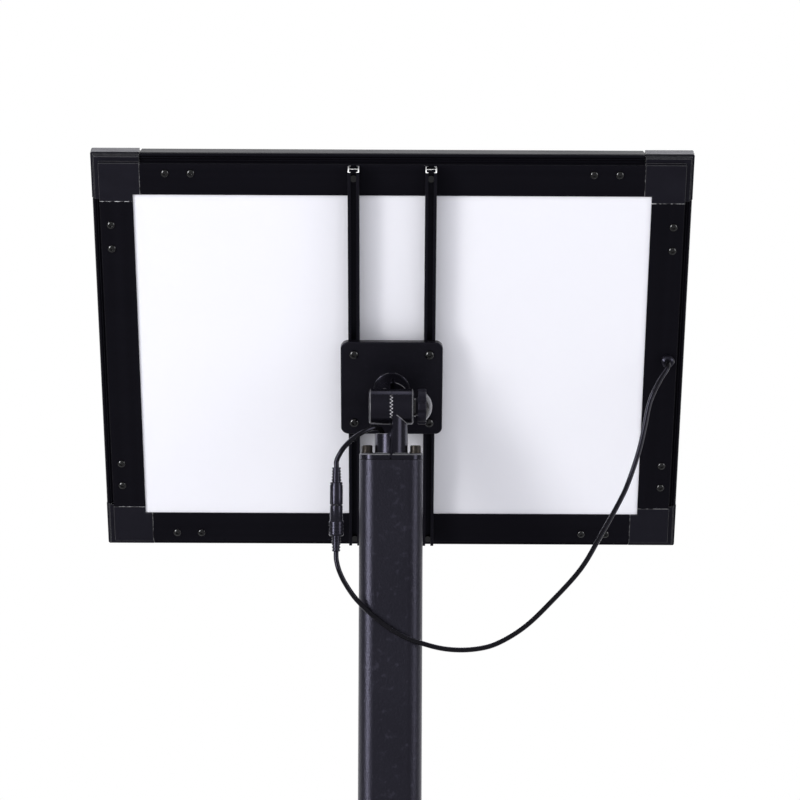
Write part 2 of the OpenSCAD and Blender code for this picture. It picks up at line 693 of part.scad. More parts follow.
// plug on the panel's lead: body, grip and relief, from above
module lead_plug() color(mould) translate([plug_x, plug_y, axis_h]) difference() {
    union() {
        rotate_extrude() polygon([[0, plug_low + 12], [5, plug_low + 12], [5.8, plug_low + 13],
            [5.8, plug_low + 23], [5, plug_low + 24], [4.95, plug_top], [0, plug_top]]);
        translate([0, 0, plug_low + 12]) mirror([0, 0, 1]) relief(3.4, 2.6, 12, 5);
    }
    translate([0, 0, plug_top - 3]) cylinder(d = barrel_d + 0.1, h = 4);
}

module plug_barrel() color([0.8, 0.8, 0.8]) translate([plug_x, plug_y, axis_h + plug_top - 3]) difference() {
    cylinder(d = barrel_d, h = barrel_l);
    translate([0, 0, 2]) cylinder(d = pin_d + 0.6, h = barrel_l);
}

// socket on the post's lead: body and relief, from below
module lead_socket() color(mould) translate([plug_x, plug_y, axis_h]) difference() {
    union() {
        rotate_extrude() polygon([[0, socket_low], [4.7, socket_low], [5.05, socket_low + 0.5],
            [5.05, socket_low + 16.2], [4.4, socket_low + 17.7], [0, socket_low + 17.7]]);
        translate([0, 0, socket_low + 17.7]) relief(3.6, 2.7, socket_top - socket_low - 17.7, 5);
    }
    translate([0, 0, socket_low - 1]) cylinder(d = barrel_d + 0.2, h = barrel_l - 1);
}

module socket_pin() color([0.8, 0.8, 0.8]) translate([plug_x, plug_y, axis_h + socket_low - 0.3])
    cylinder(d = pin_d, h = barrel_l - 1.7);

module post_lead() color(soft) lead_tube(post_route);

base_plate();
rubber_feet();
base_bolts();
post();
supply_bush();
neck_casting();
flange_bolts();
flange_washers();
head_casting();
clamp_nut();
mount_plate();
plate_screws();
slot_nuts();
stem_screws();
clamp_washer();
knob_grip();
knob_cap();
knob_stud();
rail_left();
rail_right();
rail_screws();
frame_top();
frame_right();
frame_bottom();
frame_left();
corner_tr();
corner_br();
corner_bl();
corner_tl();
corner_keys();
frame_screws();
lid_top();
lid_right();
lid_bottom();
lid_left();
lid_springs();
back_sheet();
reflector_sheet();
light_guide();
led_strip_top();
led_strip_bottom();
diffuser_sheet();
cover_sheet();
panel_gland();
panel_lead();
lead_plug();
plug_barrel();
lead_socket();
socket_pin();
post_lead();
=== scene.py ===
"""LED menu stand: finishes for its parts, the leads between them, and a plain studio round it."""

import json
import math

import bmesh
import bpy
from bpy.props import FloatProperty, FloatVectorProperty, PointerProperty
from mathutils import Matrix, Vector

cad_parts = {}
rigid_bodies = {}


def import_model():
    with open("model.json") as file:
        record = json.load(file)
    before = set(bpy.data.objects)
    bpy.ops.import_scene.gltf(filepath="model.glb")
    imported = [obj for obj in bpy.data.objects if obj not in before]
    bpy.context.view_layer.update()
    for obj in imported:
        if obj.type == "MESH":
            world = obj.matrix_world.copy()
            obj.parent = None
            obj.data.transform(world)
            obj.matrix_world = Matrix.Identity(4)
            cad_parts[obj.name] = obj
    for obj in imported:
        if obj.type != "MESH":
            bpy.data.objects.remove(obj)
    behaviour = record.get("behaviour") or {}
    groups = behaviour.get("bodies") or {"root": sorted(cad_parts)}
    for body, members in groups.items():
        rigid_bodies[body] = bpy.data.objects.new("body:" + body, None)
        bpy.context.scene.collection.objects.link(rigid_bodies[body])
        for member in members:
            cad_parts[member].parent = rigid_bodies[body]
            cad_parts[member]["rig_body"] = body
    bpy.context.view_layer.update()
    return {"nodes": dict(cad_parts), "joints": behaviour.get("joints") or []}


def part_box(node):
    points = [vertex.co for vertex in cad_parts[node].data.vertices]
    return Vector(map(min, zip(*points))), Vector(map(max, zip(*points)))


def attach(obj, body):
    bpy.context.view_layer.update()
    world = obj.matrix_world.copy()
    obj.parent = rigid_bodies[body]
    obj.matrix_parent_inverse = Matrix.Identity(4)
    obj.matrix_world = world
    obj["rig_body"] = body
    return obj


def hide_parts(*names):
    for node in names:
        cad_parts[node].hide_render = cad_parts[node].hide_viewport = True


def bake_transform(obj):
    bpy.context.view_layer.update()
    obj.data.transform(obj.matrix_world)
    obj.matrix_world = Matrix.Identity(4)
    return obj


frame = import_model()

bl_info = {
    "name": "LED menu stand",
    "version": (1, 0, 0),
    "blender": (4, 5, 0),
    "location": "View3D > Sidebar > Menu stand",
    "description": "Finishes, leads and studio for a light box on a tilting post",
    "category": "Object",
}

SIDES = ("top", "right", "bottom", "left")
CORNERS = ("tr", "br", "bl", "tl")

joints = {joint["name"]: joint for joint in frame["joints"]}
tilt_axis = Vector(joints["tilt"]["pos_m"])
across = Vector((1, 0, 0))
up_panel = Vector(joints["panel_slide"]["axis"]).normalized()
out_panel = up_panel.cross(across)
lean = math.asin(-up_panel.y)

# cold cast of the light that the black coats throw back
COAT_TINT = (0.75, 0.73, 1, 1)

# most values of a noise texture lie in the first span, flecks come in over the second, and bare metal over
# the third
NOISE_SPAN = (0.3, 0.7)
FLECK_SPAN = (0.6, 0.78)
BARE_SPAN = (0.4, 0.6)

# gloss of the black coat on the frame's sides, its lids and the rails
SIDE_GLOSS = 0.15
LID_GLOSS = 0.14
RAIL_GLOSS = 0.35

# layer of air between the diffuser and the clear cover
AIR_GAP = 0.00005

# light of the room: the way to the wall behind the camera, a little below level, and the cosines between
# which its mirror image dims towards that wall, then the way to the soft light over the wall, its colour,
# the cosine at which it starts, and its share from everywhere else
FRONT_WALL = (0, -0.95, -0.3)
WALL_FADE = (-0.85, -0.4)
ROOM_LIGHT = (0, -0.98, 0.2)
ROOM_COLOUR = (0.94, 0.95, 1, 1)
LIGHT_START = 0.6
LIGHT_REST = 0.1

# softboxes: where each stands, its width and height, and the setting that holds its power
SOFTBOXES = {
    "left_softbox": ((-1.42, -1.8, 1.3), (1.2, 1.6), "key_power"),
    "left_strip": ((-1.5, -1.45, 1.15), (0.48, 1.7), "strip_power"),
    "right_softbox": ((1.85, -1.05, 1.25), (0.8, 1.6), "fill_power"),
    "top_softbox": ((0, 0.7, 2.5), (1.6, 1.2), "top_power"),
    "front_softbox": ((0.5, 2.3, 1.8), (1.5, 1.5), "front_power"),
}

# floor: half its width, the distances from the stand between which it turns to white, and the stretch of Y
# along which its mirror image brightens
FLOOR_HALF = 9
FLOOR_FADE = (0.5, 2.6)
MIRROR_FADE = (-0.5, 2.0)

# toothed drum: its radius, its teeth, how far their tips reach past the seam, how far the grooves do, and
# where its plain round face begins
DRUM_RADIUS = 0.014
TEETH = 30
TOOTH_REACH = 0.00075
GROOVE_REACH = 0.0035
PLAIN_FROM = 0.0012

# rubbed tips of the teeth, painted near white as glints on the rear, which faces the camera: where the mark
# starts under the drum's face and ends over it, how far its middle is from the seam, and how it fades off
# the middle of a tooth, along the drum in steps of its size, and away from the rear
WEAR_GLINT_START = (DRUM_RADIUS - 0.0009, DRUM_RADIUS - 0.0003)
WEAR_GLINT_END = (DRUM_RADIUS + 0.0002, DRUM_RADIUS + 0.0006)
WEAR_GLINT_MIDDLE = 0.75 * TOOTH_REACH
TIP_FADE = (0.3, 0.7)
SEAM_FADE = (0.35, 0.75)
REAR_FADE = (0.7, 0.9)

# height of the tilt axis over the middle of the flange
FLANGE_DROP = 0.039

# points that are nearer than this are one, in the parts' meshes and in new ones
WELD = 1e-7
NEW_WELD = 1e-6

# skew way along which a new mesh is put in order, so that it is the same each run
SORT_WAY = Vector((1, math.sqrt(2), math.sqrt(3)))

# angles between two faces: under the first they are one, over the second their edge is eased, and over the
# last ones they shade as a corner, on a part and on a turned piece
SAME_FACE = math.radians(0.4)
SHARP_EDGE = math.radians(32)
PART_CORNER = math.radians(38)
TURNED_CORNER = math.radians(50)

# cut ends of the extrusions: depth of the bare edge, how bright it is by the way that the side runs, as
# painted light that is brighter on the upright sides, and how squarely the end of a rail faces along it
CUT_DEPTH = 0.0004
BARE_AND_LIT_LEVEL = {"across": 0.3, "upright": 0.75}
END_FACING = 0.9

# most that a side of the mounting plate faces out of the panel
SIDE_FACING = 0.6

# sides of a turned piece, and rings of a button head's dome
TURNED_SIDES = 40
HEAD_STEPS = 8

# button-head screws: the head's radius and height, its socket's width over the flats and depth, and the
# shank's radius, then the lip round the socket, by the radius of the socket's corners, and the dome's
# height and the lip's fall, by the head's height
PLATE_SCREW = {"head": (0.0038, 0.0024), "key": (0.0025, 0.0015), "shank": 0.002}
FRAME_SCREW = {"head": (0.0033, 0.0018), "key": (0.002, 0.0011), "shank": 0.0015}
LIP_SHARE = 1.12
DOME_SHARE = 0.84
FALL_SHARE = 0.04

# plug and socket, as radii and heights in millimetres from the tilt axis: each one's relief, from the
# lead's end to its root, and its body, from there to its mouth, with the plug's grooves for the fingers
GRIP_LEVELS = (-98.2, -95.6, -93)
GRIP_GROOVE = ((5.8, 0), (5.5, 0.2), (5.5, 0.7), (5.8, 0.9))
PLUG_RELIEF = ((3.15, -113), (3.55, -101))
PLUG_BODY = (
    (5, -101), (5.5, -100.7), (5.8, -100),
    *((radius, level + rise) for level in GRIP_LEVELS for radius, rise in GRIP_GROOVE),
    (5.8, -90.2), (5.6, -89.5), (5, -89), (4.95, -77.6), (4.7, -77.1), (4.3, -76.9), (2.75, -76.9),
    (2.75, -79.9), (0, -79.9))
SOCKET_RELIEF = ((3.4, -47.6), (3.8, -59))
SOCKET_BODY = (
    (4.2, -59), (4.4, -59), (4.75, -59.5), (4.85, -60.4), (4.5, -60.6), (4.5, -61.1), (4.95, -61.3),
    (5.05, -61.8), (5.05, -75.9), (4.9, -76.4), (4.5, -76.7), (2.8, -76.7), (2.8, -66.7), (0, -66.7))

# ribs of a relief: their number, and one rib's outline, as depths in millimetres and shares of its pitch
RELIEF_RIBS = 5
RIB_OUTLINE = ((0.2, 0), (0, 0.12), (0, 0.5), (0.15, 0.6), (0.55, 0.66), (0.55, 1))

# web between the neck's sleeve and its stem: the sleeve's top and the web's foot below the tilt axis, how
# far it goes into the stem, the hollow of its corner, the radius that the sleeve and the stem share, and
# the steps of the hollow
SLEEVE_DROP = 0.021
WEB_DROP = 0.0285
WEB_REACH = 0.0019
WEB_HOLLOW = 0.0035
NECK_RADIUS = 0.01293
WEB_STEPS = 8

# routes of the two leads, in millimetres, with z from the tilt axis, the point where the panel's lead comes
# to the side of the post, the steps of the curve between two points, and those of its round section
PANEL_ROUTE = (
    (220.5, 43.1, 39.4), (220.5, 39.5, 37.6), (220.5, 36.4, 36.1), (220.5, 33.2, 34.5), (218.8, 29.5, 30),
    (212.8, 28, 20.5), (205.6, 27.5, 4.5), (201.4, 27, -15.2), (196.6, 25.5, -35.2), (188.5, 23.5, -59.2),
    (181.2, 21, -74.8), (166.4, 17, -101), (150.2, 12.5, -127.8), (126, 6.5, -154), (106, 1.5, -172.5),
    (86, -3.5, -184.5), (70, -7.5, -189.2), (50.5, -11.5, -190), (31, -15.5, -186.5), (7.5, -17.3, -177.7),
    (-12, -17.3, -164.4), (-26.5, -17.3, -150.6), (-35.4, -17.6, -138), (-40.2, -17.9, -128),
    (-42.2, -18, -120.6), (-42.6, -18, -116.5), (-42.6, -18, -113))
POST_ROUTE = (
    (-7, 0, -54), (-7, 0, -34), (-7, 0, -25), (-7.2, -1, -20.6), (-9, -4, -17.8), (-13.5, -8.5, -16.6),
    (-21, -13, -19.3), (-29.6, -16, -25), (-36.8, -17.5, -32), (-41, -18, -38.8), (-42.6, -18, -43),
    (-42.6, -18, -45.4), (-42.6, -18, -47.6))
BESIDE_POST = 18
ROUTE_STEPS = 6
ROUND_STEPS = 6


class FinishSettings(bpy.types.PropertyGroup):
    """Colours and edges of the stand"""

    coat_colour: FloatVectorProperty(
        name="Coat", description="Black coat of the post, the frame and the castings", subtype="COLOR",
        default=(0.0041, 0.0038, 0.0055), min=0, max=1)
    moulding_colour: FloatVectorProperty(
        name="Mouldings", description="Black plastic of the corners, the knob and the plug",
        subtype="COLOR", default=(0.0062, 0.0058, 0.0085), min=0, max=1)
    sheet_colour: FloatVectorProperty(
        name="Back sheet", description="White sheet behind the light guide", subtype="COLOR",
        default=(0.915, 0.91, 0.955), min=0, max=1)
    sheath_colour: FloatVectorProperty(
        name="Lead sheath", description="Sheath of the leads", subtype="COLOR",
        default=(0.005, 0.0048, 0.0052), min=0, max=1)
    edge_round: FloatProperty(
        name="Edge rounding", description="How far the edges of the metal parts are eased", unit="LENGTH",
        default=0.00025, min=0, max=0.001)
    lead_diameter: FloatProperty(
        name="Lead diameter", description="Thickness of the leads", unit="LENGTH",
        default=0.004, min=0.003, max=0.006)


class StudioSettings(bpy.types.PropertyGroup):
    """Camera, lights and floor"""

    camera_place: FloatVectorProperty(
        name="Camera", description="Where the camera stands", subtype="XYZ", unit="LENGTH",
        default=(0.0067, -2.1832, 1.05514))
    camera_lens: FloatProperty(
        name="Lens", description="Focal length on a 36 mm sensor", unit="CAMERA", default=125, min=20)
    camera_roll: FloatProperty(
        name="Roll", description="Turn of the camera about its own line of sight", subtype="ANGLE",
        default=math.radians(0.25))
    key_power: FloatProperty(
        name="Left softbox", description="Power of the softbox on the left", unit="POWER", default=5, min=0)
    strip_power: FloatProperty(
        name="Left strip", description="Power of the tall strip on the left", unit="POWER",
        default=18.5, min=0)
    fill_power: FloatProperty(
        name="Right softbox", description="Power of the softbox on the right", unit="POWER",
        default=7.3, min=0)
    top_power: FloatProperty(
        name="Top softbox", description="Power of the softbox overhead", unit="POWER", default=10.5, min=0)
    front_power: FloatProperty(
        name="Front softbox", description="Power of the softbox that faces the menu", unit="POWER",
        default=20, min=0)
    room_level: FloatProperty(
        name="Room", description="Soft light from the walls, strongest from behind the camera",
        default=1.82, min=0, max=6)
    mirror_level: FloatProperty(
        name="Mirrored room", description="How bright glossy parts show the wall behind the camera",
        subtype="FACTOR", default=0.16, min=0, max=1)
    floor_colour: FloatVectorProperty(
        name="Floor", description="Colour of the floor", subtype="COLOR", default=(0.86, 0.86, 0.87),
        min=0, max=1)


def once(build):
    """Each finish or shader group is built the first time that it is asked for."""
    made = {}

    def give(*options):
        if options not in made:
            made[options] = build(*options)
        return made[options]
    return give


def new_group(name, size, outputs):
    """Empty shader group for a pattern of this size, and the nodes at its two ends."""
    group = bpy.data.node_groups.new(name, "ShaderNodeTree")
    group.interface.new_socket("Vector", in_out="INPUT", socket_type="NodeSocketVector")
    step = group.interface.new_socket("Size", in_out="INPUT", socket_type="NodeSocketFloat")
    step.default_value = size
    for label in outputs:
        group.interface.new_socket(label, in_out="OUTPUT", socket_type="NodeSocketFloat")
    return group, group.nodes.new("NodeGroupInput"), group.nodes.new("NodeGroupOutput")


def add_node(tree, kind, settings=None, **values):
    """New node with its settings and the values of its inputs."""
    node = tree.nodes.new(kind)
    for key, value in (settings or {}).items():
        setattr(node, key, value)
    for key, value in values.items():
        node.inputs[key].default_value = value
    return node


def over_size(tree, entry):
    """The group's vector counted in steps of its size."""
    divide = add_node(tree, "ShaderNodeVectorMath", {"operation": "DIVIDE"})
    tree.links.new(entry.outputs["Vector"], divide.inputs[0])
    tree.links.new(entry.outputs["Size"], divide.inputs[1])
    return divide.outputs[0]


def follow(tree, value, low, high, start=0.0, end=1.0, kind="SMOOTHSTEP"):
    """A value that runs from one level to another while the given one goes from start to end."""
    remap = add_node(tree, "ShaderNodeMapRange", {"interpolation_type": kind})
    for label, number in (("From Min", start), ("From Max", end), ("To Min", low), ("To Max", high)):
        remap.inputs[label].default_value = number
    tree.links.new(value, remap.inputs["Value"])
    return remap.outputs["Result"]


@once
def fine_grain():
    """Shader group: the fine texture of a coat or a moulding, as a height and as scattered flecks."""
    tree, entry, leave = new_group("Fine grain", 0.0005, ("Height", "Fleck"))
    place = over_size(tree, entry)
    coarse = add_node(tree, "ShaderNodeTexNoise", Scale=1.0, Detail=3.0, Roughness=0.62)
    tree.links.new(place, coarse.inputs["Vector"])
    tree.links.new(coarse.outputs["Fac"], leave.inputs["Height"])
    spot = add_node(tree, "ShaderNodeTexNoise", Scale=0.37, Detail=1.0)
    tree.links.new(place, spot.inputs["Vector"])
    tree.links.new(follow(tree, spot.outputs["Fac"], 0, 1, *FLECK_SPAN), leave.inputs["Fleck"])
    return tree


@once
def handling_marks():
    """Shader group: broad cloudy patches and narrower wipes left by hands and cloths."""
    tree, entry, leave = new_group("Handling marks", 0.05, ("Cloud", "Wipe"))
    place = over_size(tree, entry)
    cloud = add_node(tree, "ShaderNodeTexNoise", Scale=1.0, Detail=4.0, Roughness=0.5)
    tree.links.new(place, cloud.inputs["Vector"])
    tree.links.new(cloud.outputs["Fac"], leave.inputs["Cloud"])
    turn = add_node(tree, "ShaderNodeMapping")
    turn.inputs["Rotation"].default_value = (0.3, 0.5, 0.9)
    turn.inputs["Scale"].default_value = (0.6, 4.5, 2.0)
    tree.links.new(place, turn.inputs["Vector"])
    wipe = add_node(tree, "ShaderNodeTexNoise", Scale=1.0, Detail=5.0, Roughness=0.6, Distortion=0.4)
    tree.links.new(turn.outputs["Vector"], wipe.inputs["Vector"])
    tree.links.new(wipe.outputs["Fac"], leave.inputs["Wipe"])
    return tree


@once
def drawn_lines():
    """Shader group: fine lines along X, as an extrusion die or a drawing tool leaves them."""
    tree, entry, leave = new_group("Drawn lines", 0.001, ("Height", "Streak"))
    place = over_size(tree, entry)
    pull = add_node(tree, "ShaderNodeMapping")
    pull.inputs["Scale"].default_value = (0.006, 1.0, 1.0)
    tree.links.new(place, pull.inputs["Vector"])
    lines = add_node(tree, "ShaderNodeTexNoise", Scale=1.0, Detail=4.0, Roughness=0.65)
    tree.links.new(pull.outputs["Vector"], lines.inputs["Vector"])
    tree.links.new(lines.outputs["Fac"], leave.inputs["Height"])
    broad = add_node(tree, "ShaderNodeTexNoise", Scale=0.16, Detail=2.0)
    tree.links.new(pull.outputs["Vector"], broad.inputs["Vector"])
    tree.links.new(broad.outputs["Fac"], leave.inputs["Streak"])
    return tree


@once
def tooth_wear_and_glints():
    """Shader group: the rubbed tips of the teeth, on the rim of the toothed drum, painted as glints on the
    rear.
    """
    tree, entry, leave = new_group("Worn teeth", 0.001, ("Mask",))

    def calculate(operation, *terms):
        """Math node on numbers and on other nodes' outputs."""
        node = add_node(tree, "ShaderNodeMath", {"operation": operation})
        for socket, term in zip(node.inputs, terms):
            if isinstance(term, (int, float)):
                socket.default_value = term
            else:
                tree.links.new(term, socket)
        return node.outputs[0]

    from_axis = add_node(tree, "ShaderNodeVectorMath", {"operation": "SUBTRACT"})
    tree.links.new(entry.outputs["Vector"], from_axis.inputs[0])
    from_axis.inputs[1].default_value = tilt_axis
    apart = add_node(tree, "ShaderNodeSeparateXYZ")
    tree.links.new(from_axis.outputs[0], apart.inputs[0])
    x, y, z = apart.outputs
    turn = calculate("COSINE", calculate("MULTIPLY", calculate("ARCTAN2", y, z), TEETH))
    tip = follow(tree, calculate("MULTIPLY", turn, calculate("SIGN", x)), 0, 1, *TIP_FADE)
    off = calculate("ABSOLUTE", calculate("SUBTRACT", calculate("ABSOLUTE", x), WEAR_GLINT_MIDDLE))
    near = follow(tree, calculate("DIVIDE", off, entry.outputs["Size"]), 1, 0, *SEAM_FADE)
    radius = calculate("SQRT", calculate("ADD", calculate("MULTIPLY", y, y), calculate("MULTIPLY", z, z)))
    rim = follow(tree, radius, 0, 1, *WEAR_GLINT_START)
    body = follow(tree, radius, 1, 0, *WEAR_GLINT_END)
    # the painted glint fades out away from the rear, which faces the camera
    rear = follow(tree, calculate("DIVIDE", y, -DRUM_RADIUS), 0, 1, *REAR_FADE)
    patch = calculate("MULTIPLY", calculate("MULTIPLY", tip, near), calculate("MULTIPLY", rim, rear))
    tree.links.new(calculate("MULTIPLY", patch, body), leave.inputs["Mask"])
    return tree


class Finish:
    """A material in the making: its tree, its shader and the point that its patterns are read at."""

    def __init__(self, name, **sockets):
        self.material = bpy.data.materials.new(name)
        self.material.use_nodes = True
        self.tree = self.material.node_tree
        self.shader = self.tree.nodes["Principled BSDF"]
        for key, value in sockets.items():
            self.shader.inputs[key.replace("_", " ")].default_value = value
        self.point = self.tree.nodes.new("ShaderNodeTexCoord").outputs["Object"]

    def join(self, output, target):
        """Links two sockets of the material."""
        self.tree.links.new(output, target)

    def turned_point(self, angles):
        """The point in a frame turned by these angles, so that its X runs along the part."""
        turn = add_node(self.tree, "ShaderNodeMapping")
        turn.inputs["Rotation"].default_value = angles
        self.join(self.point, turn.inputs["Vector"])
        return turn.outputs["Vector"]

    def group(self, tree, size, point=None):
        """A shader group's outputs, with its pattern at this size."""
        node = add_node(self.tree, "ShaderNodeGroup", {"node_tree": tree}, Size=size)
        self.join(point or self.point, node.inputs["Vector"])
        return node.outputs

    def colours(self, mask, low, high):
        """Base colour that runs from one colour to another with a mask."""
        mix = add_node(self.tree, "ShaderNodeMix", {"data_type": "RGBA"})
        mix.inputs["A"].default_value = (*low, 1)
        mix.inputs["B"].default_value = (*high, 1)
        self.join(mask, mix.inputs["Factor"])
        self.join(mix.outputs["Result"], self.shader.inputs["Base Color"])

    def spread(self, mask, low, high):
        """Roughness that runs between two limits with a mask."""
        level = follow(self.tree, mask, low, high, *NOISE_SPAN, kind="LINEAR")
        self.join(level, self.shader.inputs["Roughness"])

    def bump(self, height, depth):
        """Relief of this depth."""
        node = add_node(self.tree, "ShaderNodeBump", Strength=1.0, Distance=depth)
        self.join(height, node.inputs["Height"])
        self.join(node.outputs["Normal"], self.shader.inputs["Normal"])


def handled(name, size, low, high, gloss, **sockets):
    """Finish whose colour and roughness vary with the marks of handling, at this size."""
    finish = Finish(name, **sockets)
    marks = finish.group(handling_marks(), size)
    finish.colours(marks["Cloud"], low, high)
    finish.spread(marks["Wipe"], *gloss)
    return finish


def shade(colour, factor):
    """A lighter or darker step of a colour."""
    return tuple(min(1.0, channel * factor) for channel in colour)


@once
def powder_coat():
    """Fine-textured black powder coat of the plates."""
    colour = bpy.context.scene.menu_finish.coat_colour
    finish = Finish("powder_coat", Specular_IOR_Level=0.45, Specular_Tint=COAT_TINT)
    marks = finish.group(handling_marks(), 0.06)
    grain = finish.group(fine_grain(), 0.0006)
    finish.colours(grain["Fleck"], shade(colour, 0.85), shade(colour, 1.9))
    finish.spread(marks["Wipe"], 0.33, 0.45)
    finish.bump(grain["Height"], 0.00005)
    return finish.material


@once
def post_coat():
    """Black coat of the post, with a coarser texture."""
    colour = bpy.context.scene.menu_finish.coat_colour
    finish = Finish("post_coat", Specular_IOR_Level=0.9, Specular_Tint=COAT_TINT)
    marks = finish.group(handling_marks(), 0.07)
    grain = finish.group(fine_grain(), 0.0016)
    finish.colours(grain["Fleck"], colour, shade(colour, 4))
    finish.spread(marks["Cloud"], 0.29, 0.37)
    finish.bump(grain["Height"], 0.00028)
    return finish.material


@once
def frame_coat(run, gloss):
    """Black coat of an extrusion that runs across or upright, with this much gloss."""
    colour = bpy.context.scene.menu_finish.coat_colour
    finish = Finish(f"frame_coat_{run}_{gloss:g}", Specular_IOR_Level=gloss, Specular_Tint=COAT_TINT)
    along = (0, 0, 0) if run == "across" else (-lean, math.pi / 2, 0)
    lines = finish.group(drawn_lines(), 0.0012, finish.turned_point(along))
    marks = finish.group(handling_marks(), 0.05)
    finish.colours(lines["Streak"], shade(colour, 0.7), shade(colour, 1.3))
    finish.spread(marks["Wipe"], 0.3, 0.42)
    finish.bump(lines["Height"], 0.00001)
    return finish.material


@once
def cast_coat():
    """Smooth black coat of the castings, rubbed off the tips of their teeth, with painted glints there on
    the rear.
    """
    colour = bpy.context.scene.menu_finish.coat_colour
    finish = Finish("cast_coat", Specular_IOR_Level=0.7, Specular_Tint=COAT_TINT)
    marks = finish.group(handling_marks(), 0.02)
    grain = finish.group(fine_grain(), 0.0011)
    wear_and_glint = finish.group(tooth_wear_and_glints(), 0.001)
    # painted glints: the rubbed tips of the teeth turn near white, only on the rear, which faces the camera
    finish.colours(wear_and_glint["Mask"], colour, (0.78, 0.77, 0.8))
    finish.spread(marks["Wipe"], 0.17, 0.25)
    finish.bump(grain["Height"], 0.00004)
    return finish.material


@once
def rim_wear_and_glint(level):
    """Coat on an edge, rubbed thin in places, and painted lighter along the edge as a highlight."""
    colour = bpy.context.scene.menu_finish.coat_colour
    finish = Finish(f"worn_rim_{level:g}", Specular_IOR_Level=0.5)
    marks = finish.group(handling_marks(), 0.006)
    # painted highlight: the edge runs from a lighter black up to the grey of its level, partly as worn coat
    finish.colours(marks["Wipe"], shade(colour, 2), (level, level, 1.05 * level))
    finish.spread(marks["Cloud"], 0.18, 0.3)
    return finish.material


@once
def raw_edge(level):
    """Cut edge of an extrusion, where bare metal shows in places, at a level that also holds painted light.
    """
    colour = bpy.context.scene.menu_finish.coat_colour
    finish = Finish(f"raw_edge_{level:g}", Metallic=0.4)
    grain = finish.group(fine_grain(), 0.004)
    bare = follow(finish.tree, grain["Height"], 0, 1, *BARE_SPAN)
    # bare metal at this level, set brighter on the upright sides than on those across as painted light
    finish.colours(bare, shade(colour, 3), (level, level, 1.03 * level))
    finish.spread(grain["Height"], 0.3, 0.45)
    return finish.material


@once
def plate_side():
    """Smoother coat on the narrow sides of the mounting plate."""
    colour = bpy.context.scene.menu_finish.coat_colour
    return handled("plate_side", 0.02, colour, shade(colour, 1.6), (0.15, 0.28),
                   Specular_IOR_Level=0.5).material


@once
def brown_steel():
    """Browned steel of the bolts and washers in the flange."""
    dark, light = (0.026, 0.022, 0.02), (0.07, 0.06, 0.052)
    return handled("brown_steel", 0.006, dark, light, (0.26, 0.45), Metallic=0.7).material


@once
def black_steel():
    """Polished black steel of the screws, the base bolts and the clamp's washer."""
    dark, light = (0.09, 0.09, 0.095), (0.15, 0.15, 0.155)
    return handled("black_steel", 0.006, dark, light, (0.07, 0.15), Metallic=1.0).material


@once
def bright_steel():
    """Plated steel of the nuts, the stud, the springs and the contacts."""
    dark, light = (0.48, 0.48, 0.49), (0.66, 0.66, 0.67)
    return handled("bright_steel", 0.004, dark, light, (0.2, 0.38), Metallic=1.0).material


@once
def cut_alloy():
    """Bright alloy of the corner keys and of the rails where they are sawn."""
    finish = Finish("cut_alloy", Metallic=1.0)
    lines = finish.group(drawn_lines(), 0.0003)
    finish.colours(lines["Height"], (0.7, 0.7, 0.71), (0.9, 0.9, 0.9))
    finish.spread(lines["Streak"], 0.28, 0.45)
    finish.bump(lines["Height"], 0.00002)
    return finish.material


@once
def rubber():
    """Matt rubber of the feet and the bush."""
    dark, light = (0.012, 0.012, 0.012), (0.022, 0.022, 0.022)
    finish = handled("rubber", 0.01, dark, light, (0.55, 0.75), Specular_IOR_Level=0.3)
    grain = finish.group(fine_grain(), 0.0004)
    finish.bump(grain["Height"], 0.00004)
    return finish.material


@once
def lead_sheath():
    """Glossy sheath of the leads."""
    colour = bpy.context.scene.menu_finish.sheath_colour
    return handled("lead_sheath", 0.015, shade(colour, 0.8), shade(colour, 1.3), (0.05, 0.1),
                   Specular_IOR_Level=0.55, Specular_Tint=COAT_TINT).material


@once
def moulded_black():
    """Moulded plastic of the knob and the frame's corners."""
    colour = bpy.context.scene.menu_finish.moulding_colour
    finish = handled("moulded_black", 0.02, shade(colour, 0.8), shade(colour, 1.3), (0.32, 0.46),
                     Specular_IOR_Level=0.42, Specular_Tint=COAT_TINT)
    grain = finish.group(fine_grain(), 0.0004)
    finish.bump(grain["Height"], 0.00003)
    return finish.material


@once
def moulded_gloss():
    """Glossier plastic of the plug, the socket and the gland."""
    colour = bpy.context.scene.menu_finish.moulding_colour
    return handled("moulded_gloss", 0.008, shade(colour, 0.5), shade(colour, 0.9), (0.18, 0.3),
                   Specular_IOR_Level=0.95, Specular_Tint=COAT_TINT).material


@once
def cap_gloss():
    """Lacquered dark cap of the knob."""
    dark, light = (0.016, 0.016, 0.018), (0.03, 0.03, 0.033)
    return handled("cap_gloss", 0.008, dark, light, (0.12, 0.24), Coat_Weight=0.8,
                   Coat_Roughness=0.05).material


@once
def white_sheet():
    """White plastic of the back sheet, not quite flat."""
    colour = bpy.context.scene.menu_finish.sheet_colour
    finish = Finish("white_sheet", Specular_IOR_Level=0.3)
    marks = finish.group(handling_marks(), 0.12)
    finish.colours(marks["Cloud"], shade(colour, 0.985), colour)
    finish.spread(marks["Wipe"], 0.45, 0.58)
    finish.bump(marks["Cloud"], 0.0002)
    return finish.material


@once
def opal_sheet():
    """White plastic of the reflector and the diffuser."""
    dark, light = (0.88, 0.88, 0.885), (0.91, 0.91, 0.91)
    return handled("opal_sheet", 0.1, dark, light, (0.3, 0.4)).material


@once
def clear_sheet():
    """Clear acrylic of the light guide and the cover."""
    finish = Finish("clear_sheet", Transmission_Weight=1.0, IOR=1.49)
    finish.shader.inputs["Base Color"].default_value = (0.96, 0.98, 0.985, 1)
    marks = finish.group(handling_marks(), 0.05)
    finish.spread(marks["Wipe"], 0.02, 0.07)
    return finish.material


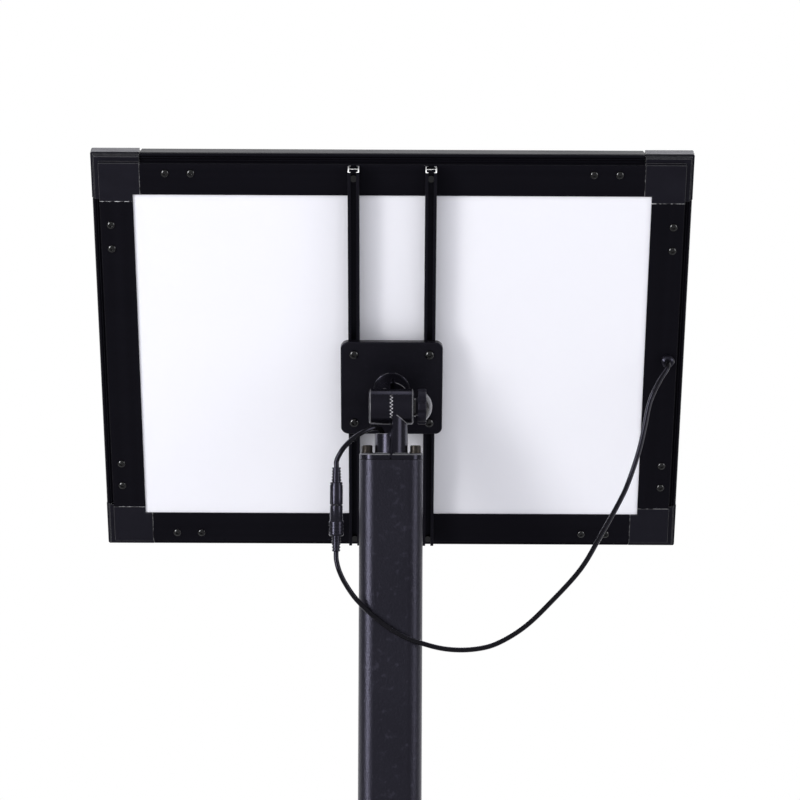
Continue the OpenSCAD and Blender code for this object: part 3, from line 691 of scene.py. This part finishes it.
@once
def led_board():
    """White circuit board with the yellow spots of its lamps."""
    finish = Finish("led_board")
    grain = finish.group(fine_grain(), 0.002)
    finish.colours(grain["Fleck"], (0.82, 0.82, 0.78), (0.8, 0.72, 0.3))
    finish.spread(grain["Height"], 0.35, 0.5)
    return finish.material


def coat_part(node, material):
    """Gives a CAD part its finish."""
    part = frame["nodes"][node]
    for slot in part.material_slots:
        slot.material = material
    if not part.material_slots:
        part.data.materials.append(material)


def finished_mesh(name, bm, coat, corner):
    """Mesh of a new piece, closed the right way round and smooth but for its corners."""
    bmesh.ops.recalc_face_normals(bm, faces=bm.faces)
    bm.verts.sort(key=lambda vert: vert.co.dot(SORT_WAY))
    bm.faces.sort(key=lambda face: face.calc_center_median().dot(SORT_WAY))
    for face in bm.faces:
        face.smooth = True
    mesh = bpy.data.meshes.new(name)
    bm.to_mesh(mesh)
    bm.free()
    mesh.set_sharp_from_angle(angle=corner)
    mesh.materials.append(coat)
    return mesh


def link_piece(name, mesh, body, slot, *nodes):
    """New piece, which rides on a body and stands for CAD parts where any are given; its slot is not used.
    """
    piece = bpy.data.objects.new(name, mesh)
    bpy.context.scene.collection.objects.link(piece)
    if body:
        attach(piece, body)
    if nodes:
        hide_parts(*nodes)
    return piece


def eased_part(node, slot, coat, edge=None, rim=None, wear_and_glint=None, pick=None, picked=None, seams=()):
    """Copy of a CAD part with its sharp edges rounded off, which stands for it.

    The rounding takes the rim's finish, which paints the eased edge lighter, partly as wear and partly as a
    highlight, or only where wear_and_glint says so, and the faces that pick finds take the picked one. A
    seam is a line across X that parts the faces, so that they shade evenly on each side.
    """
    source = frame["nodes"][node]
    bm = bmesh.new()
    bm.from_mesh(source.data)
    bmesh.ops.remove_doubles(bm, verts=bm.verts, dist=WELD)
    bmesh.ops.dissolve_limit(bm, angle_limit=SAME_FACE, verts=bm.verts, edges=bm.edges)
    for level in seams:
        bmesh.ops.bisect_plane(bm, geom=[*bm.verts, *bm.edges, *bm.faces], dist=WELD,
                               plane_co=across * level, plane_no=across)
    mesh = bpy.data.meshes.new(node + "_eased")
    for material in (coat, rim or coat, picked or coat):
        mesh.materials.append(material)
    for face in bm.faces:
        face.smooth = True
        face.material_index = 2 if pick and pick(face) else 0
    if edge is None:
        edge = bpy.context.scene.menu_finish.edge_round
    sharp = [e for e in bm.edges
             if e.is_manifold and e.calc_face_angle() > SHARP_EDGE and not (seams and on_groove(e))]
    made = bmesh.ops.bevel(bm, geom=sharp, offset=edge, offset_type="OFFSET", affect="EDGES", segments=2,
                           profile=0.5, material=-1, clamp_overlap=False)
    for face in made["faces"]:
        face.smooth = True
        face.material_index = 1 if wear_and_glint is None or wear_and_glint(face) else 0
    bmesh.ops.remove_doubles(bm, verts=bm.verts, dist=WELD)
    bmesh.ops.dissolve_degenerate(bm, dist=WELD, edges=bm.edges)
    bm.to_mesh(mesh)
    bm.free()
    mesh.set_sharp_from_angle(angle=PART_CORNER)
    piece = link_piece(node + "_eased", mesh, source["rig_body"], slot, node)
    weigh = piece.modifiers.new("Even shading", "WEIGHTED_NORMAL")
    weigh.keep_sharp = True
    weigh.weight = 80
    return piece


def on_groove(edge):
    """Is an edge among the teeth of the drum, or among the grooves beside them?"""
    return all(abs(vert.co.x) < GROOVE_REACH for vert in edge.verts)


def cut_ends(node, way):
    """Test for the faces at the two cut ends of a part that runs this way."""
    along = [vert.co.dot(way) for vert in frame["nodes"][node].data.vertices]
    low, high = min(along) + CUT_DEPTH, max(along) - CUT_DEPTH

    def at_end(face):
        return not low < face.calc_center_median().dot(way) < high
    return at_end


def neck_web():
    """Cast web that fills the corner between the neck's sleeve and its stem with a hollow curve."""
    bm = bmesh.new()
    bmesh.ops.create_grid(bm, x_segments=WEB_STEPS + 1, y_segments=1, size=1)
    for vert in bm.verts:
        step = round((vert.co.x + 1) / 2 * (WEB_STEPS + 1))
        turn = math.pi / 2 * min(step / WEB_STEPS, 1)
        x = WEB_HOLLOW * (math.sin(turn) - 1) if step <= WEB_STEPS else WEB_REACH
        z = WEB_HOLLOW * (1 - math.cos(turn)) - SLEEVE_DROP
        vert.co = tilt_axis + Vector((x, math.copysign(math.sqrt(NECK_RADIUS ** 2 - x ** 2), vert.co.y), z))
    lower = bmesh.ops.extrude_face_region(bm, geom=bm.faces[:])["geom"]
    for item in lower:
        if isinstance(item, bmesh.types.BMVert):
            item.co.z = tilt_axis.z - WEB_DROP
    mesh = finished_mesh("neck_web", bm, cast_coat(), PART_CORNER)
    return link_piece("neck_web", mesh, "stand", "cast_coat")


def loose_parts(bm):
    """The mesh's separate lumps, as lists of vertices."""
    left = set(bm.verts)
    while left:
        lump, edge_of_lump = [], [left.pop()]
        while edge_of_lump:
            vert = edge_of_lump.pop()
            lump.append(vert)
            near = {edge.other_vert(vert) for edge in vert.link_edges} & left
            left -= near
            edge_of_lump += near
        yield lump


def turned(profile):
    """New bmesh, turned about Z from a profile of radii and heights."""
    bm = bmesh.new()
    verts = [bm.verts.new((radius, 0, level)) for radius, level in profile]
    edges = [bm.edges.new(pair) for pair in zip(verts, verts[1:])]
    bmesh.ops.spin(bm, geom=verts + edges, axis=(0, 0, 1), angle=2 * math.pi, steps=TURNED_SIDES,
                   use_merge=True)
    bmesh.ops.remove_doubles(bm, verts=bm.verts, dist=NEW_WELD)
    return bm


def connector(node, relief, body):
    """Plug or socket with a ribbed relief, which tapers to where the lead ends."""
    (thin, lead_end), (thick, root) = relief
    pitch = (root - lead_end) / RELIEF_RIBS
    profile = [(0, lead_end)]
    for rib in range(RELIEF_RIBS):
        radius = thin + (thick - thin) * rib / (RELIEF_RIBS - 1)
        foot = lead_end + rib * pitch
        for depth, share in RIB_OUTLINE:
            profile.append((radius - depth, foot + share * pitch))
    low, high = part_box(node)
    middle = [(a + b) / 2 for a, b in zip(low, high)]
    bm = turned([(radius / 1000, level / 1000) for radius, level in (*profile, *body)])
    bmesh.ops.translate(bm, verts=bm.verts, vec=(middle[0], middle[1], tilt_axis.z))
    name = node + "_ribbed"
    mesh = finished_mesh(name, bm, moulded_gloss(), TURNED_CORNER)
    return link_piece(name, mesh, frame["nodes"][node]["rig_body"], "moulded_black", node)


def button_screw(head, key, shank, length):
    """New bmesh of a screw under the XY plane, with a rounded button head and a hexagon socket."""
    (radius, height), (flats, depth) = head, key
    corner = flats / math.sqrt(3)
    lip = LIP_SHARE * corner
    profile = [(0, -length), (shank, -length), (shank, -height), (radius, -height)]
    for step in range(HEAD_STEPS + 1):
        turn = math.pi / 2 * step / HEAD_STEPS
        profile.append((lip + (radius - lip) * math.cos(turn), DOME_SHARE * height * (math.sin(turn) - 1)))
    bm = turned(profile)
    brim = [edge for edge in bm.edges if edge.is_boundary]
    ring = bmesh.ops.create_circle(bm, segments=6, radius=corner)["verts"]
    bmesh.ops.translate(bm, verts=ring, vec=(0, 0, -FALL_SHARE * height))
    sides = list({edge for vert in ring for edge in vert.link_edges})
    bmesh.ops.bridge_loops(bm, edges=brim + sides)
    wall = bmesh.ops.extrude_edge_only(bm, edges=sides)["geom"]
    foot = [item for item in wall if isinstance(item, bmesh.types.BMVert)]
    bmesh.ops.translate(bm, verts=foot, vec=(0, 0, FALL_SHARE * height - depth))
    bmesh.ops.edgeloop_fill(bm, edges=[edge for edge in bm.edges if edge.is_boundary])
    return bm


def button_screws(node, sizes):
    """Button-head screws of these sizes in the places of a node's own screws."""
    source = frame["nodes"][node]
    bm = bmesh.new()
    bm.from_mesh(source.data)
    bmesh.ops.remove_doubles(bm, verts=bm.verts, dist=WELD)
    screws = bmesh.new()
    for lump in loose_parts(bm):
        spans = [[vert.co.dot(way) for vert in lump] for way in (across, up_panel, -out_panel)]
        x, y = [(min(span) + max(span)) / 2 for span in spans[:2]]
        top = max(spans[2])
        screw = button_screw(**sizes, length=top - min(spans[2]))
        place = Matrix.Translation(across * x + up_panel * y - out_panel * top)
        turn = Matrix((across, up_panel, -out_panel)).transposed().to_4x4()
        bmesh.ops.transform(screw, matrix=place @ turn, verts=screw.verts)
        one = bpy.data.meshes.new("screw")
        screw.to_mesh(one)
        screw.free()
        screws.from_mesh(one)
        bpy.data.meshes.remove(one)
    bm.free()
    name = node + "_buttons"
    mesh = finished_mesh(name, screws, black_steel(), TURNED_CORNER)
    return link_piece(name, mesh, source["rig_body"], "black_steel", node)


def is_over_flange(face):
    """Is a face of a casting above its flange?"""
    return face.calc_center_median().z > tilt_axis.z - FLANGE_DROP


def is_rail_end(face):
    """Is a face at the cut end of a rail?"""
    return abs(face.normal.dot(up_panel)) > END_FACING


def is_plate_side(face):
    """Is a face on the narrow side of the mounting plate?"""
    return abs(face.normal.dot(out_panel)) < SIDE_FACING


def smooth_route(route):
    """Points of a smooth curve through a route, in metres."""
    knots = [Vector(place) / 1000 + Vector((0, 0, tilt_axis.z)) for place in route]
    points = []
    for i in range(len(knots) - 1):
        a, b = knots[max(i - 1, 0)], knots[i]
        c, d = knots[i + 1], knots[min(i + 2, len(knots) - 1)]
        for step in range(ROUTE_STEPS):
            s = step / ROUTE_STEPS
            points.append(0.5 * (2 * b + (c - a) * s + (2 * a - 5 * b + 4 * c - d) * s ** 2
                                 + (3 * b - a - 3 * c + d) * s ** 3))
    return points + [knots[-1]]


def lead_piece(name, route, held):
    """A lead on its route, which stays where it is laid; the point that held picks is not used."""
    diameter = bpy.context.scene.menu_finish.lead_diameter
    points = smooth_route(route)
    line = bpy.data.curves.new(name + "_line", "CURVE")
    line.dimensions = "3D"
    line.bevel_depth = diameter / 2
    line.bevel_resolution = ROUND_STEPS
    line.use_fill_caps = True
    spline = line.splines.new("POLY")
    spline.points.add(len(points) - 1)
    for knot, point in zip(spline.points, points):
        knot.co = (*point, 1)
    carrier = bpy.data.objects.new(name + "_line", line)
    mesh = bpy.data.meshes.new_from_object(carrier)
    bpy.data.objects.remove(carrier)
    bpy.data.curves.remove(line)
    bm = bmesh.new()
    bm.from_mesh(mesh)
    bmesh.ops.remove_doubles(bm, verts=bm.verts, dist=NEW_WELD)
    bmesh.ops.recalc_face_normals(bm, faces=bm.faces)
    for face in bm.faces:
        face.smooth = len(face.verts) == 4
    bm.to_mesh(mesh)
    bm.free()
    mesh.materials.clear()
    mesh.materials.append(lead_sheath())
    piece = link_piece(name + "_sheath", mesh, None, "lead_sheath", name)
    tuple(points[0])
    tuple(points[held * ROUTE_STEPS])
    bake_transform(piece)
    length = sum((b - a).length for a, b in zip(points, points[1:]))
    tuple(points[0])
    return piece


def area_light(name, place, size, power):
    """Softbox of this width and height, which faces the tilt joint."""
    light = bpy.data.lights.new(name, "AREA")
    light.shape = "RECTANGLE"
    light.size, light.size_y = size
    light.energy = power
    lamp = bpy.data.objects.new(name, light)
    lamp.location = place
    lamp.rotation_euler = (tilt_axis - Vector(place)).to_track_quat("-Z", "Y").to_euler()
    lamp.visible_camera = False
    bpy.context.scene.collection.objects.link(lamp)


def seen_rays(tree):
    """Mask of the rays that show the background: camera, glossy and transmission."""
    path = add_node(tree, "ShaderNodeLightPath")
    mask = path.outputs["Is Camera Ray"]
    for label in ("Is Glossy Ray", "Is Transmission Ray"):
        both = add_node(tree, "ShaderNodeMath", {"operation": "MAXIMUM"})
        tree.links.new(mask, both.inputs[0])
        tree.links.new(path.outputs[label], both.inputs[1])
        mask = both.outputs[0]
    return mask


def glossy_level(tree, plain, glossy):
    """One level for the background as it is seen, and another for its mirror image in glossy parts."""
    path = add_node(tree, "ShaderNodeLightPath")
    shown = add_node(tree, "ShaderNodeMix", {"data_type": "FLOAT"})
    tree.links.new(path.outputs["Is Glossy Ray"], shown.inputs["Factor"])
    for label, level in (("A", plain), ("B", glossy)):
        if isinstance(level, float):
            shown.inputs[label].default_value = level
        else:
            tree.links.new(level, shown.inputs[label])
    return shown.outputs["Result"]


def show_over(tree, mask, below, above, output):
    """Ends a tree with a mix of two shaders by a mask."""
    mix = add_node(tree, "ShaderNodeMixShader")
    for source, socket in zip((mask, below.outputs[0], above.outputs[0]), mix.inputs):
        tree.links.new(source, socket)
    tree.links.new(mix.outputs[0], tree.nodes[output].inputs["Surface"])


class MENUSTAND_OT_camera(bpy.types.Operator):
    """Put the camera behind the light box, level with the tilt joint"""
    bl_idname = "menustand.camera"
    bl_label = "Camera"

    def execute(self, context):
        studio = context.scene.menu_studio
        data = bpy.data.cameras.new("rear_camera")
        data.sensor_width = 36
        data.lens = studio.camera_lens
        camera = bpy.data.objects.new("rear_camera", data)
        level = Matrix.Rotation(math.pi / 2, 4, "X") @ Matrix.Rotation(studio.camera_roll, 4, "Z")
        camera.matrix_world = Matrix.Translation(studio.camera_place) @ level
        context.scene.collection.objects.link(camera)
        context.scene.camera = camera
        return {"FINISHED"}


class MENUSTAND_OT_leads(bpy.types.Operator):
    """Run the panel's lead to its plug and the post's lead to its socket"""
    bl_idname = "menustand.leads"
    bl_label = "Leads"

    def execute(self, context):
        plug = connector("lead_plug", PLUG_RELIEF, PLUG_BODY)
        socket = connector("lead_socket", SOCKET_RELIEF, SOCKET_BODY)
        lead_piece("panel_lead", PANEL_ROUTE, BESIDE_POST)
        lead_piece("post_lead", POST_ROUTE, len(POST_ROUTE) - 1)
        coat_part("plug_barrel", bright_steel())
        coat_part("socket_pin", bright_steel())
        coat_part("panel_gland", moulded_gloss())
        return {"FINISHED"}


class MENUSTAND_OT_stand(bpy.types.Operator):
    """Finish the base plate, its feet and bolts, and the post"""
    bl_idname = "menustand.stand"
    bl_label = "Base and post"

    def execute(self, context):
        eased_part("base_plate", "powder_coat", powder_coat(), edge=0.0005, rim=rim_wear_and_glint(0.04))
        coat_part("rubber_feet", rubber())
        coat_part("base_bolts", black_steel())
        eased_part("post", "post_coat", post_coat(), rim=rim_wear_and_glint(0.02))
        coat_part("supply_bush", rubber())
        return {"FINISHED"}


class MENUSTAND_OT_tilt_joint(bpy.types.Operator):
    """Finish the two toothed castings, their bolts and the clamp"""
    bl_idname = "menustand.tilt_joint"
    bl_label = "Tilt joint"

    def execute(self, context):
        for node in ("neck_casting", "head_casting"):
            # painted highlight: the eased edges over the flange take a light grey rim, partly as worn coat
            eased_part(node, "cast_coat", cast_coat(), edge=0.0004, rim=rim_wear_and_glint(0.25), wear_and_glint=is_over_flange,
                       seams=(-PLAIN_FROM, PLAIN_FROM))
        neck_web()
        for node in ("flange_bolts", "flange_washers"):
            coat_part(node, brown_steel())
        coat_part("clamp_washer", black_steel())
        for node in ("clamp_nut", "knob_stud"):
            coat_part(node, bright_steel())
        eased_part("knob_grip", "moulded_black", moulded_black(), edge=0.0003)
        coat_part("knob_cap", cap_gloss())
        return {"FINISHED"}


class MENUSTAND_OT_mount(bpy.types.Operator):
    """Finish the mounting plate, its screws and nuts, and the rails with their bright cut ends"""
    bl_idname = "menustand.mount"
    bl_label = "Mounting plate and rails"

    def execute(self, context):
        eased_part("mount_plate", "powder_coat", powder_coat(), pick=is_plate_side, picked=plate_side())
        button_screws("plate_screws", PLATE_SCREW)
        for node in ("stem_screws", "rail_screws"):
            coat_part(node, black_steel())
        coat_part("slot_nuts", bright_steel())
        for node in ("rail_left", "rail_right"):
            eased_part(node, "post_coat", frame_coat("upright", RAIL_GLOSS), edge=0.00015, pick=is_rail_end,
                       picked=cut_alloy())
        return {"FINISHED"}


class MENUSTAND_OT_frame(bpy.types.Operator):
    """Finish the sides, the corners, the keys and the snap lids of the frame"""
    bl_idname = "menustand.frame"
    bl_label = "Snap frame"

    def execute(self, context):
        for side in SIDES:
            run = "across" if side in ("top", "bottom") else "upright"
            node = "frame_" + side
            ends = cut_ends(node, across if run == "across" else up_panel)
            # bare cut ends, painted brighter on the upright sides than on those across
            eased_part(node, "post_coat", frame_coat(run, SIDE_GLOSS), edge=0.0004,
                       rim=raw_edge(BARE_AND_LIT_LEVEL[run]), wear_and_glint=ends)
            eased_part("lid_" + side, "post_coat", frame_coat(run, LID_GLOSS))
        for corner in CORNERS:
            eased_part("corner_" + corner, "moulded_black", moulded_black(), rim=rim_wear_and_glint(0.1))
        coat_part("corner_keys", cut_alloy())
        button_screws("frame_screws", FRAME_SCREW)
        coat_part("lid_springs", bright_steel())
        return {"FINISHED"}


class MENUSTAND_OT_sheets(bpy.types.Operator):
    """Finish the sheets and the light strips, and lay a clear cover over the diffuser"""
    bl_idname = "menustand.sheets"
    bl_label = "Sheets and light strips"

    def execute(self, context):
        coat_part("back_sheet", white_sheet())
        coat_part("reflector_sheet", opal_sheet())
        coat_part("diffuser_sheet", opal_sheet())
        coat_part("light_guide", clear_sheet())
        for node in ("led_strip_top", "led_strip_bottom"):
            coat_part(node, led_board())
        self.lay_cover()
        return {"FINISHED"}

    def lay_cover(self):
        """Clear cover with a thin layer of air under it."""
        source = frame["nodes"]["cover_sheet"]
        mesh = source.data.copy()
        mesh.name = "cover_sheet_clear"
        mesh.materials.clear()
        mesh.materials.append(clear_sheet())
        depth = [vert.co.dot(out_panel) for vert in mesh.vertices]
        middle = (min(depth) + max(depth)) / 2
        for vert, far in zip(mesh.vertices, depth):
            vert.co += out_panel * (AIR_GAP if far < middle else -AIR_GAP)
        link_piece("cover_sheet_clear", mesh, source["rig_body"], "acrylic", "cover_sheet")


class MENUSTAND_OT_studio(bpy.types.Operator):
    """Lay the pale floor and set the softboxes round the stand"""
    bl_idname = "menustand.studio"
    bl_label = "Studio"

    def execute(self, context):
        studio = context.scene.menu_studio
        context.scene.view_settings.view_transform = "Standard"
        self.lay_floor(studio)
        self.light_room(context.scene, studio)
        for name, (place, size, power) in SOFTBOXES.items():
            area_light(name, place, size, getattr(studio, power))
        return {"FINISHED"}

    def lay_floor(self, studio):
        """Broad pale floor under the stand."""
        bm = bmesh.new()
        bmesh.ops.create_grid(bm, x_segments=4, y_segments=4, size=FLOOR_HALF)
        mesh = bpy.data.meshes.new("floor")
        bm.to_mesh(mesh)
        bm.free()
        floor = bpy.data.objects.new("floor", mesh)
        bpy.context.scene.collection.objects.link(floor)
        mesh.materials.append(self.floor_paint(studio))

    def floor_paint(self, studio):
        """Pale paint that runs out to a white glow away from the stand; glossy parts see only that glow,
        dimmer on the camera's side.
        """
        finish = Finish("floor_paint", Roughness=0.7, Specular_IOR_Level=0.2)
        tree = finish.tree
        marks = finish.group(handling_marks(), 0.6)
        finish.colours(marks["Cloud"], shade(studio.floor_colour, 0.99), studio.floor_colour)
        length = add_node(tree, "ShaderNodeVectorMath", {"operation": "LENGTH"})
        tree.links.new(finish.point, length.inputs[0])
        away = follow(tree, length.outputs["Value"], 0, 1, *FLOOR_FADE)
        seen = add_node(tree, "ShaderNodeMath", {"operation": "MULTIPLY"})
        tree.links.new(seen_rays(tree), seen.inputs[0])
        tree.links.new(glossy_level(tree, away, 1.0), seen.inputs[1])
        white = add_node(tree, "ShaderNodeEmission")
        white.inputs["Color"].default_value = (1, 1, 1, 1)
        apart = add_node(tree, "ShaderNodeSeparateXYZ")
        tree.links.new(finish.point, apart.inputs[0])
        dim = follow(tree, apart.outputs["Y"], studio.mirror_level, 1.0, *MIRROR_FADE)
        tree.links.new(glossy_level(tree, 1.0, dim), white.inputs["Strength"])
        show_over(tree, seen.outputs[0], finish.shader, white, "Material Output")
        return finish.material

    def light_room(self, scene, studio):
        """White where it is seen, dimmer in glossy parts on the camera's side, and a soft light."""
        scene.world = bpy.data.worlds.new("studio_room")
        scene.world.use_nodes = True
        tree = scene.world.node_tree
        way = add_node(tree, "ShaderNodeTexCoord").outputs["Generated"]

        def toward(place):
            """Cosine between a ray and the way to a place."""
            facing = add_node(tree, "ShaderNodeVectorMath", {"operation": "DOT_PRODUCT"})
            facing.inputs[1].default_value = place
            tree.links.new(way, facing.inputs[0])
            return facing.outputs["Value"]

        light = tree.nodes["Background"]
        light.inputs["Color"].default_value = ROOM_COLOUR
        full = studio.room_level
        level = follow(tree, toward(ROOM_LIGHT), LIGHT_REST * full, full, LIGHT_START)
        tree.links.new(level, light.inputs["Strength"])
        white = add_node(tree, "ShaderNodeBackground")
        white.inputs["Color"].default_value = (1, 1, 1, 1)
        dim = follow(tree, toward(FRONT_WALL), 1.0, studio.mirror_level, *WALL_FADE)
        tree.links.new(glossy_level(tree, 1.0, dim), white.inputs["Strength"])
        show_over(tree, seen_rays(tree), light, white, "World Output")


OPERATORS = (
    MENUSTAND_OT_camera, MENUSTAND_OT_leads, MENUSTAND_OT_stand, MENUSTAND_OT_tilt_joint,
    MENUSTAND_OT_mount, MENUSTAND_OT_frame, MENUSTAND_OT_sheets, MENUSTAND_OT_studio)


class MENUSTAND_PT_sidebar(bpy.types.Panel):
    """Settings of the stand and the studio, and the steps that make them"""
    bl_idname = "MENUSTAND_PT_sidebar"
    bl_label = "Menu stand"
    bl_space_type = "VIEW_3D"
    bl_region_type = "UI"
    bl_category = "Menu stand"

    def draw(self, context):
        for settings in (context.scene.menu_finish, context.scene.menu_studio):
            box = self.layout.box()
            for key in settings.__annotations__:
                box.prop(settings, key)
        for operator in OPERATORS:
            self.layout.operator(operator.bl_idname)


CLASSES = (FinishSettings, StudioSettings, *OPERATORS, MENUSTAND_PT_sidebar)


def register():
    for cls in CLASSES:
        bpy.utils.register_class(cls)
    bpy.types.Scene.menu_finish = PointerProperty(type=FinishSettings)
    bpy.types.Scene.menu_studio = PointerProperty(type=StudioSettings)


def unregister():
    del bpy.types.Scene.menu_studio
    del bpy.types.Scene.menu_finish
    for cls in reversed(CLASSES):
        bpy.utils.unregister_class(cls)


def main():
    register()
    bpy.ops.menustand.camera()
    bpy.ops.menustand.leads()
    bpy.ops.menustand.stand()
    bpy.ops.menustand.tilt_joint()
    bpy.ops.menustand.mount()
    bpy.ops.menustand.frame()
    bpy.ops.menustand.sheets()
    bpy.ops.menustand.studio()


if __name__ == "__main__":
    main()
